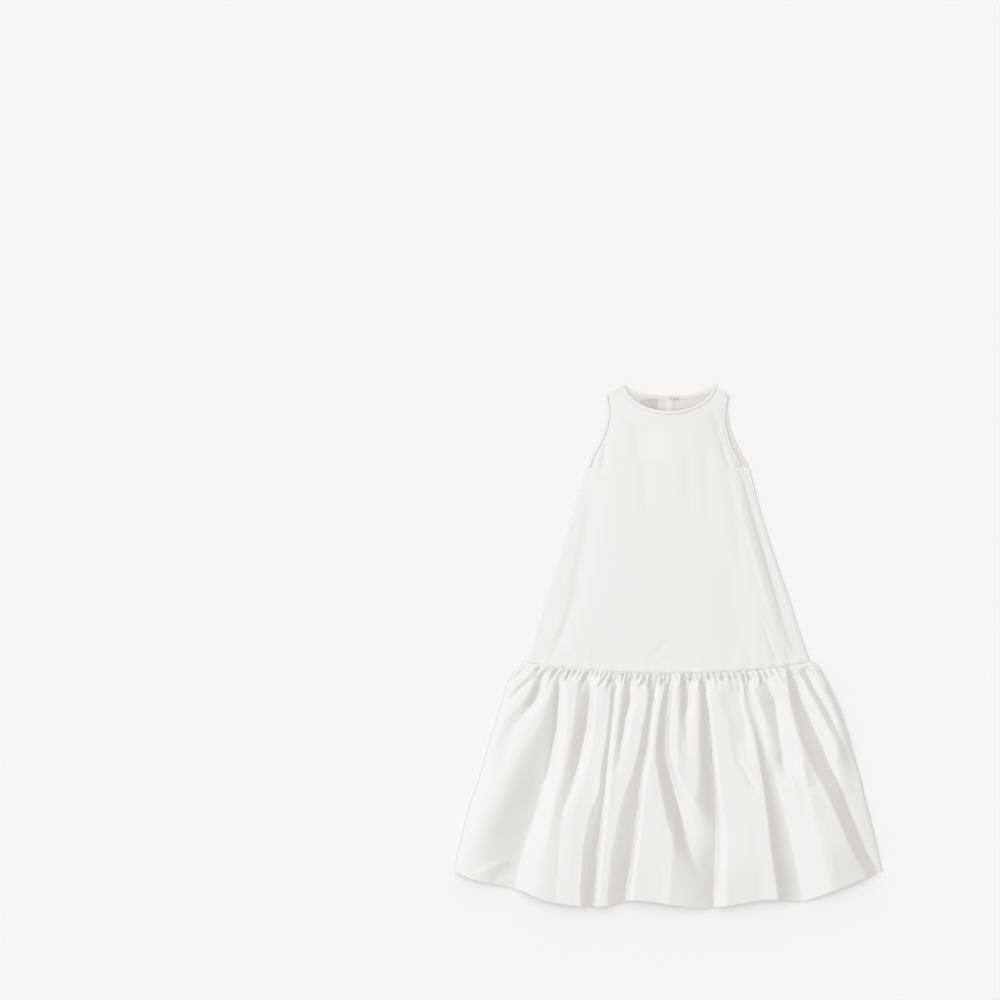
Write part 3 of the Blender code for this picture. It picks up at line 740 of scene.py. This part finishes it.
# The label tape is set darker than its own whitish tone: painted shade for where it lies under the front neck
# edge.
label_tape = matt_tape("bare_label_tape_painted_shade", (0.69, 0.675, 0.66))
ivory_thread = twisted_thread("ivory_thread", (0.85, 0.84, 0.81))
nickel = drawn_wire("nickelled_wire", (0.50, 0.48, 0.45), (0.70, 0.68, 0.65))

SHARP_RIM = math.radians(72)
ROLL_SIDES = 14


def in_scene(name, data):
    """A new object in the scene, with this mesh, lamp or camera."""
    made = bpy.data.objects.new(name, data)
    bpy.context.scene.collection.objects.link(made)
    return made


def new_piece(name, points, faces, material, uvs):
    mesh = bpy.data.meshes.new(name)
    mesh.from_pydata(place(points).tolist(), [], faces)
    mesh.shade_smooth()
    mesh.materials.append(material)
    layer = mesh.uv_layers.new(name="cloth")
    corners = np.zeros(len(mesh.loops), np.int64)
    mesh.loops.foreach_get("vertex_index", corners)
    layer.data.foreach_set("uv", (uvs[corners] / 1000).astype(np.float32).ravel())
    return in_scene(name, mesh)


def quads(numbers):
    """The faces between neighbouring rows and columns of a grid of point numbers."""
    corners = numbers[:-1, :-1], numbers[1:, :-1], numbers[1:, 1:], numbers[:-1, 1:]
    return np.stack(corners, axis=-1).reshape(-1, 4)


def sheet(name, side, down, height, material, wall=SATIN_WALL, flat=None):
    """A thin shell of cloth over a grid, given by its underside. Its threads follow `flat`, its cut."""
    under = np.stack(np.broadcast_arrays(side, down, height), axis=-1).astype(float)
    square = np.cross(np.gradient(under, axis=1), np.gradient(under, axis=0))
    square[[0, -1], :, 1] = 0
    over = under + wall * square / np.linalg.norm(square, axis=-1, keepdims=True)
    points = np.concatenate([over.reshape(-1, 3), under.reshape(-1, 3)])
    points[:, 2] = np.maximum(points[:, 2], 0)
    count = side.size
    numbers = np.arange(count).reshape(side.shape)
    upper = quads(numbers)
    lower = upper[:, ::-1] + count
    rim = np.concatenate([numbers[:-1, 0], numbers[-1, :-1], numbers[:0:-1, -1], numbers[0, :0:-1]])
    after = np.roll(rim, -1)
    edge = np.stack([after, rim, rim + count, after + count], axis=1)
    uvs = np.stack(np.broadcast_arrays(*(flat or (side, down))), axis=-1).reshape(-1, 2)
    faces = np.concatenate([upper, lower, edge]).tolist()
    piece = new_piece(name, points, faces, material, np.concatenate([uvs, uvs]))
    piece.data.set_sharp_from_angle(angle=SHARP_RIM)
    return piece


def rolled_binding(name, outer, inner, base, thickness, material, sinks):
    """A narrow binding between a finished edge and the panel's edge: a soft roll, closed round both edges.

    Where it sinks, its end goes down to the panel's level.
    """
    turns = np.arange(ROLL_SIDES) * 2 * math.pi / ROLL_SIDES
    across = 0.5 + 0.5 * np.sign(np.cos(turns)) * np.abs(np.cos(turns)) ** 0.7
    above = 0.5 + 0.5 * np.sign(np.sin(turns)) * np.abs(np.sin(turns)) ** 0.8
    length = run_along(outer)
    pucker = 1 + 0.06 * np.sin(length / 2.3) * np.sin(length / 9.1 + 1)
    if sinks:
        sunk = 1 - ease((length[-1] - length) / BINDING_SINKS_OVER)
        pucker = pucker - (1 - SATIN_WALL / thickness) * sunk
    flat = outer[:, None] + (inner - outer)[:, None] * across[None, :, None]
    level = base[:, None] + thickness * pucker[:, None] * above[None]
    points = np.concatenate([flat, level[..., None]], axis=-1).reshape(-1, 3)
    rings = np.arange(len(points)).reshape(-1, ROLL_SIDES)
    faces = quads(np.column_stack([rings, rings[:, 0]]))[:, [0, 3, 2, 1]].tolist()
    faces += [rings[0, ::-1].tolist(), rings[-1].tolist()]
    uvs = np.stack(np.broadcast_arrays(length[:, None], turns[None] * 2.4), axis=-1).reshape(-1, 2)
    piece = new_piece(name, points, faces, material, uvs)
    set_outward(piece)
    return piece


def set_outward(piece):
    """Turns a closed piece's faces outwards."""
    mesh = piece.data
    corners = np.array([mesh.vertices[i].co[:] for face in mesh.polygons for i in face.vertices[:3]])
    corners = corners.reshape(-1, 3, 3)
    volume = np.einsum("ij,ij->i", corners[:, 0], np.cross(corners[:, 1], corners[:, 2])).sum()
    if volume < 0:
        mesh.flip_normals()


def stitch_tree():
    """Lays a stitch at even steps along a line: a flat thread between two holes."""
    tree = bpy.data.node_groups.new("stitches_along_a_line", "GeometryNodeTree")
    tree.is_modifier = True
    for name, flow, kind in (
        ("Geometry", "INPUT", "Geometry"), ("Step", "INPUT", "Float"), ("Stitch", "INPUT", "Float"),
        ("Thread", "INPUT", "Float"), ("Material", "INPUT", "Material"), ("Geometry", "OUTPUT", "Geometry"),
    ):
        tree.interface.new_socket(name, in_out=flow, socket_type="NodeSocket" + kind)
    inputs, outputs, line, spaced, bead, way, turned, size, laid, real, dyed = map(
        tree.nodes.new,
        (
            "NodeGroupInput", "NodeGroupOutput", "GeometryNodeMeshToCurve", "GeometryNodeResampleCurve",
            "GeometryNodeMeshUVSphere", "GeometryNodeInputTangent", "FunctionNodeAlignRotationToVector",
            "ShaderNodeCombineXYZ", "GeometryNodeInstanceOnPoints", "GeometryNodeRealizeInstances",
            "GeometryNodeSetMaterial",
        ),
    )
    spaced.mode = "LENGTH"
    turned.axis = "X"
    for name, value in (("Segments", 6), ("Rings", 5), ("Radius", 0.5)):
        bead.inputs[name].default_value = value
    chain = (inputs, line, spaced, laid, real, dyed, outputs)
    for giver, taker in zip(chain[:-1], chain[1:]):
        tree.links.new(giver.outputs[0], taker.inputs[0])
    for giver, output, taker, socket in (
        (inputs, "Step", spaced, "Length"),
        (way, "Tangent", turned, "Vector"),
        (inputs, "Stitch", size, "X"),
        (inputs, "Thread", size, "Y"),
        (inputs, "Thread", size, "Z"),
        (bead, "Mesh", laid, "Instance"),
        (turned, "Rotation", laid, "Rotation"),
        (size, "Vector", laid, "Scale"),
        (inputs, "Material", dyed, "Material"),
    ):
        tree.links.new(giver.outputs[output], taker.inputs[socket])
    return tree


STITCHES = stitch_tree()


def stitches(name, lines, step, length, thread):
    """A mesh of stitches along several lines of side, down and height."""
    points = np.concatenate(lines)
    mesh = bpy.data.meshes.new(name)
    starts = np.cumsum([0] + [len(line) for line in lines])
    edges = [(i, i + 1) for a, b in zip(starts[:-1], starts[1:]) for i in range(a, b - 1)]
    mesh.from_pydata(place(points).tolist(), edges, [])
    guide = in_scene(name + "_guide", mesh)
    sewn = guide.modifiers.new("sewn", "NODES")
    sewn.node_group = STITCHES
    values = {"Step": step / 1000, "Stitch": length / 1000, "Thread": thread / 1000, "Material": ivory_thread}
    for item in STITCHES.interface.items_tree:
        if item.in_out == "INPUT" and item.name in values:
            sewn[item.identifier] = values[item.name]
    graph = bpy.context.evaluated_depsgraph_get()
    made = bpy.data.meshes.new_from_object(guide.evaluated_get(graph))
    bpy.data.objects.remove(guide)
    made.shade_smooth()
    return in_scene(name, made)


def even_line(line, count, closer=1.0, both=False):
    """The same line with points evenly along it, or ever closer towards its end or both its ends."""
    run = run_along(line)
    at = 1 - (1 - np.linspace(0, 1, count)) ** closer
    if both:
        at = 0.5 + 0.5 * np.sin((np.linspace(0, 1, count) - 0.5) * 2.8) / math.sin(1.4)
    at = at * run[-1]
    return np.stack([np.interp(at, run, row) for row in line.T], axis=1)


def panel_sides(edges, rows, inset=0):
    """A panel's left and right edges: cut back for the armhole's binding, then whole down to the seam."""
    cut_back = ARMHOLE_BINDING_WIDTH + TOUCHING
    found = []
    for edge, inward in zip(edges, (cut_back, -cut_back)):
        hole = moved_off(armhole_line(edge, 40), inward)
        hole[0, 1] = shoulder_down(hole[0, 0])
        down = np.linspace(hole[-1, 1] + 3, seam_down(seam_share(edge(SEAM_LOWEST))) - TOUCHING, 80)
        shift = inset * ease((down - UNDERARM_DOWN - 2) / 6) if inward > 0 else 0
        whole = np.concatenate([hole, np.stack([edge(down) + shift, down], axis=1)])
        found.append(even_line(whole, rows))
    return found


def shoulder_line(start, end):
    side = np.linspace(start, end, 10)
    return np.stack([side, shoulder_down(side)], axis=1)


def cut_neck(depth, steps, *ends):
    """A panel's own neck edge, cut back for the binding."""
    return below_shoulder(moved_off(neck_line(depth, steps, *ends), -NECK_BINDING_WIDTH - TOUCHING))


def front_body():
    left, right = panel_sides(FRONT_SIDES, FRONT_GRID[0])
    neck = cut_neck(FRONT_NECK_DEPTH, 60)
    shoulders = shoulder_line(left[0, 0], neck[0, 0]), shoulder_line(neck[-1, 0], right[0, 0])
    top = np.concatenate([shoulders[0][:-1], neck, shoulders[1][1:]])
    top = even_line(top, FRONT_GRID[1], both=True)
    side, down = np.moveaxis(patch(top, seam_edge(left[-1, 0], right[-1, 0]), left, right), -1, 0)
    return sheet("front_body_satin", side, down, front_body_height(side, down), ivory_satin)


def slit_edge(hand, top, rows):
    """The centre back edge of one half: apart at the neck, and a seam's gap apart below the slit."""
    down = np.linspace(top, seam_down(seam_share(SLIT_SIDE)) - TOUCHING, rows)
    spread = TOUCHING / 2 + (SLIT_SPREAD / 2) * np.clip(1 - down / SLIT_LENGTH, 0, 1) ** 1.5
    return np.stack([SLIT_SIDE + hand * spread, down], axis=1)


def slit_side(hand, down):
    """Where one edge of the slit is at each distance down."""
    edge = slit_edge(hand, 0, 200)
    return np.interp(down, edge[:, 1], edge[:, 0])


def back_height(side, down):
    """The back lies flat, with a few soft creases, and stands up a little where it rolls past the front."""
    lifted = 0.5 * np.sin(side / 26 + 1) * np.sin(down / 70) + 0.3 * np.sin(side / 11 + down / 90)
    reach = ease((down - 60) / 60) * ease((455 - down) / 40) * ease((110 - np.abs(side - 5)) / 40)
    past_front = side - FRONT_SIDES[1](down) - TOUCHING
    rolled = BACK_ROLL * ease(past_front / 1.0) * ease((BACK_SIDES[1](down) - side) / 1.6)
    return np.clip(lifted, 0, 1) * reach * 0.1 + rolled * ease((down - UNDERARM_DOWN) / 8)


def slit_ends():
    """The neck's shares where the slit's left and right edges meet it."""
    middle = (SLIT_SIDE - NECK_MIDDLE) / NECK_HALF_WIDTH
    reach = SLIT_SPREAD / 2 / NECK_HALF_WIDTH
    return middle - reach, middle + reach


def back_halves():
    """The back's halves: darker reverse satin inside the gown, which is painted shade, and ivory where their
    outside shows past the front.
    """
    left, right = panel_sides(BACK_SIDES, BACK_ROWS, BACK_EDGE_INSET)
    near = slit_ends()
    halves = []
    for name, hand, outer, ends in (
        ("back_left_satin", -1, left, (-1.0, near[0])),
        ("back_right_satin", 1, right, (near[1], 1.0)),
    ):
        neck = cut_neck(BACK_NECK_DEPTH, 40, *ends)
        slit_top = neck[-1] if hand < 0 else neck[0]
        slit = slit_edge(hand, slit_top[1], len(outer))
        slit[0] = slit_top
        if hand < 0:
            top = np.concatenate([shoulder_line(outer[0, 0], neck[0, 0])[:-1], neck])
            top = even_line(top, LEFT_COLUMNS)
            sides = outer, slit
        else:
            top = np.concatenate([neck, shoulder_line(neck[-1, 0], outer[0, 0])[1:]])
            top = even_line(top, RIGHT_COLUMNS, RIGHT_CLOSER)
            sides = slit, outer
        bottom = seam_edge(sides[0][-1, 0], sides[1][-1, 0])
        side, down = np.moveaxis(patch(top, bottom, *sides), -1, 0)
        half = sheet(name, side, down, back_height(side, down), reverse_satin_painted_shade)
        half.data.materials.append(ivory_satin)
        # Faces past the front's edge take the ivory face; the rest keep the darker reverse satin, painted
        # shade.
        middles = (side[:-1, :-1] + side[1:, 1:]) / 2, (down[:-1, :-1] + down[1:, 1:]) / 2
        past_front = middles[0] > FRONT_SIDES[1](middles[1]) - IVORY_MARGIN
        shown = (past_front & (middles[1] > UNDERARM_DOWN)).astype(np.int32).ravel()
        rim = np.zeros(len(half.data.polygons) - 2 * len(shown), np.int32)
        half.data.polygons.foreach_set("material_index", np.concatenate([shown, shown, rim]))
        halves.append(half)
    return halves


def bindings():
    """The neck and armhole bindings, front and back, each by the node it stands for."""
    left_end, right_end = slit_ends()
    necks = (
        ("front_neck_binding", neck_line(FRONT_NECK_DEPTH, 90)),
        ("back_neck_binding_left", neck_line(BACK_NECK_DEPTH, 60, -1.0, left_end)),
        ("back_neck_binding_right", neck_line(BACK_NECK_DEPTH, 60, right_end, 1.0)),
    )
    lines = {node: (outer, below_shoulder(moved_off(outer, -NECK_BINDING_WIDTH))) for node, outer in necks}
    for layer, edges in (("front", FRONT_SIDES), ("back", BACK_SIDES)):
        for hand, edge, inward in zip(("left", "right"), edges, (1, -1)):
            outer = armhole_line(edge, 60)
            inner = moved_off(outer, inward * ARMHOLE_BINDING_WIDTH)
            inner[0, 1] = shoulder_down(inner[0, 0])
            lines[f"{hand}_armhole_binding_{layer}"] = outer, inner
    made = {}
    for node, (outer, inner) in lines.items():
        # The back's rolls take the darker reverse satin: painted shade inside the neck and armholes.
        base, thick, cloth = np.zeros(len(outer)), BACK_BINDING_THICKNESS, bias_reverse_satin_painted_shade
        if "front" in node:
            base, thick, cloth = body_height(*outer.T), FRONT_BINDING_THICKNESS, bias_satin
        name = node.replace("binding", "roll")
        made[node] = rolled_binding(name, outer, inner, base, thick, cloth, "armhole" in node)
    return made


def as_cut(share, along, cut):
    """Where the points of a flounce are in its flat width, for the weave to follow."""
    return share * cut[0] * 500, along * cut[1] * 1000


def flounces():
    alongs = np.concatenate([np.linspace(0, 0.10, 38)[:-1], np.linspace(0.10, 1, 96)])
    rim = 1 - np.array([0.007, 0.004, 0.002, 0.0008, 0])
    shares = np.concatenate([-rim[::-1], np.linspace(-0.99, 0.99, 361), rim])
    side, down, *where = flounce_grid(shares, alongs, FRONT_HEM)
    height = front_flounce_height(side, down, *where)
    side = side + leaned(FRONT_FOLDS, *where)
    flat = as_cut(*where[:2], FRONT_FLOUNCE_CUT)
    front = sheet("front_flounce_satin", side, down, height, ivory_satin, flat=flat)
    shares, alongs = np.linspace(-1, 1, 201), np.linspace(0, 1, 61)
    side, down, *where = flounce_grid(shares, alongs, BACK_HEM, BACK_EDGE_INSET)
    flat = as_cut(*where[:2], BACK_FLOUNCE_CUT)
    # The back layer takes the darker reverse satin: painted shade where it lies under the front layer.
    back = sheet("back_flounce_satin", side, down, back_flounce_height(*where), reverse_satin_painted_shade, flat=flat)
    return front, back


def placket():
    """The strip beside the slit. Its edge turns down into the slit and reaches across it."""
    down = np.linspace(BACK_NECK_DEPTH + PLACKET_TURN, SLIT_LENGTH + PLACKET_PAST_SLIT, 60)
    near, far = (slit_side(hand, down) for hand in (-1, 1))
    flap = np.clip(far - near - 0.25, 0.02, None)
    across = np.linspace(0, 1, 9)
    turn = np.array([0.12, 0.5, 1.0])
    strip = near[:, None] - PLACKET_WIDTH * (1 - across)[None]
    lap = near[:, None] + 0.12 + flap[:, None] * turn[None]
    side = np.concatenate([strip, lap], axis=1)
    fall = np.clip(flap / 2.0, 0, 1)[:, None]
    above = PLACKET_LEVEL + 0.10 * np.sin(down[:, None] / 7) * np.sin(math.pi * across)[None]
    under = PLACKET_LEVEL - fall * np.array([0.85, 0.97, 0.97])[None]
    height = np.concatenate([above, under], axis=1)
    down = np.broadcast_to(down[:, None], side.shape)
    wall = np.array([PLACKET_WALL] * len(across) + [*PLACKET_FLAP_WALLS])[None, :, None]
    return sheet("placket_satin", side, down, height, cream_satin, wall)


def label():
    shares, drops = np.meshgrid(np.linspace(0, 1, 25), np.linspace(0, 1, 19))
    side = LABEL_CORNER[0] + LABEL_SIZE[0] * shares
    down = LABEL_CORNER[1] + LABEL_SIZE[1] * drops
    height = LABEL_LEVEL + 0.4 * np.sin(math.pi * shares) * (0.5 + 0.5 * np.sin(down / 9))
    return sheet("bare_label", side, down, height, label_tape, LABEL_WALL)


def raised(side, down, height):
    """A line of stitches, with its height."""
    return np.stack(np.broadcast_arrays(side, down, height), axis=1).astype(float)


def edge_stitches():
    """Stitches on the bindings of the front and beside the placket and the label's ends."""
    top = FRONT_BINDING_THICKNESS
    neck = moved_off(neck_line(FRONT_NECK_DEPTH, 60), -NECK_BINDING_WIDTH + 0.9)[1:-1].T
    front = [raised(*neck, body_height(*neck) + top - 0.4)]
    for edge, inward in zip(FRONT_SIDES, (1, -1)):
        line = moved_off(armhole_line(edge, 50), inward * (ARMHOLE_BINDING_WIDTH - 0.8))[1:].T
        front.append(raised(*line, body_height(*line) + top - 0.45))
    down = np.linspace(BACK_NECK_DEPTH + 2, SLIT_LENGTH + 4, 40)
    near = slit_side(-1, down) - PLACKET_TURN
    inside = [raised(near - off, down, 1.05 + PLACKET_WALL) for off in (1.2, PLACKET_WIDTH - 1.2)]
    down = np.linspace(LABEL_CORNER[1] + 1, LABEL_CORNER[1] + LABEL_SIZE[1] - 1, 12)
    for off in (1.0, LABEL_SIZE[0] - 1.0):
        inside.append(raised(LABEL_CORNER[0] + off, down, 1.45))
    outer = stitches("front_edge_stitches", front, step=2.8, length=2.2, thread=0.34)
    return outer, stitches("back_inside_stitches", inside, step=2.2, length=1.7, thread=0.3)


FRONT_FLOUNCE_CUT = (0.85, 0.40)
BACK_FLOUNCE_CUT = (0.80, 0.39)

body = front_body()
back_left, back_right = back_halves()
rolls = bindings()
flounce, flounce_behind = flounces()
placket_strip = placket()
bare_label = label()
front_stitches, inside_stitches = edge_stitches()

STANDS_FOR = (
    (body, "satin", ("front_panel",)),
    (back_left, "satin", ("back_left_panel",)),
    (back_right, "satin", ("back_right_panel",)),
    (flounce, "satin", ("flounce_front",)),
    (flounce_behind, "satin", ("flounce_back",)),
    (placket_strip, "placket_tape", ("back_placket_strip",)),
    (bare_label, "label_tape", ("neck_label",)),
    (front_stitches, "satin_binding", ()),
    (inside_stitches, "satin_binding", ()),
)
ROLLS_STAND_FOR = tuple((roll, "satin_binding", (node,)) for node, roll in rolls.items())
for piece, slot, nodes in STANDS_FOR + ROLLS_STAND_FOR:
    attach(piece, "root")
    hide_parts(*nodes)
for node in ("hook", "eye"):
    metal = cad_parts[node]
    metal.data.materials.clear()
    metal.data.materials.append(nickel)

FLOOR_TONE = (0.937, 0.943, 0.948)
FLOOR_SIZE = 40
FLOOR_UNDER = 0.0002
BRIGHT_SIDE = (1.00, 1.00, 1.00)
OVERHEAD = (1.08, 1.08, 1.08)
DARK_SIDE = (0.60, 0.56, 0.53)
DARK_FROM = (0.95, -0.30, 0.0)
SIDES_FROM = 0.6
WORLD_LIGHT = 1.07
KEY_LIGHT = 0.10
KEY_FROM = (-0.75, 0.35, 0.95)
KEY_SPREAD = 60.0


def pale_floor():
    tone = (*FLOOR_TONE, 1)
    paint = finish("pale_floor_paint", "Object", Base_Color=tone, Roughness=0.9, Specular_IOR_Level=0.1)[0]
    bpy.ops.mesh.primitive_plane_add(size=FLOOR_SIZE, location=(0, 0, -FLOOR_UNDER))
    floor = bpy.context.object
    floor.name = "floor"
    floor.data.materials.append(paint)


def studio():
    """A large soft light overhead and to the left, and less light from the right."""
    world = bpy.data.worlds.new("studio")
    bpy.context.scene.world = world
    nodes = Nodes(world, "Background")
    way = nodes.add("ShaderNodeTexCoord", {}, "Generated")
    dark_way = Vector(DARK_FROM).normalized()
    aside = nodes.add("ShaderNodeVectorMath", {0: way, 1: dark_way}, "Value", operation="DOT_PRODUCT")
    colour = OVERHEAD
    for end, tone in ((-SIDES_FROM, BRIGHT_SIDE), (SIDES_FROM, DARK_SIDE)):
        reach = {"Value": aside, "From Min": 0.0, "From Max": end}
        mask = nodes.add("ShaderNodeMapRange", reach, interpolation_type="SMOOTHSTEP")
        colour = nodes.blend(mask, colour, tone)
    nodes.put("Color", colour)
    nodes.put("Strength", WORLD_LIGHT)
    lamp = bpy.data.lights.new("key", "SUN")
    lamp.energy = KEY_LIGHT
    lamp.angle = math.radians(KEY_SPREAD)
    in_scene("key", lamp).rotation_euler = Vector(KEY_FROM).to_track_quat("Z", "Y").to_euler()
    bpy.context.scene.view_settings.view_transform = "Standard"


def camera_above():
    """Straight down, with the picture's frame over the same stretch of floor as the photograph's."""
    lens = bpy.data.cameras.new("camera")
    lens.lens = LENS
    lens.sensor_width = SENSOR
    camera = in_scene("camera", lens)
    side = (PICTURE / 2 - OUTLINE_MIDDLE[0]) * PIXEL / 1000
    up = (OUTLINE_MIDDLE[1] - PICTURE / 2) * PIXEL / 1000
    camera.location = (side, up, PICTURE * PIXEL / 1000 * LENS / SENSOR)
    bpy.context.scene.camera = camera


pale_floor()
studio()
camera_above()
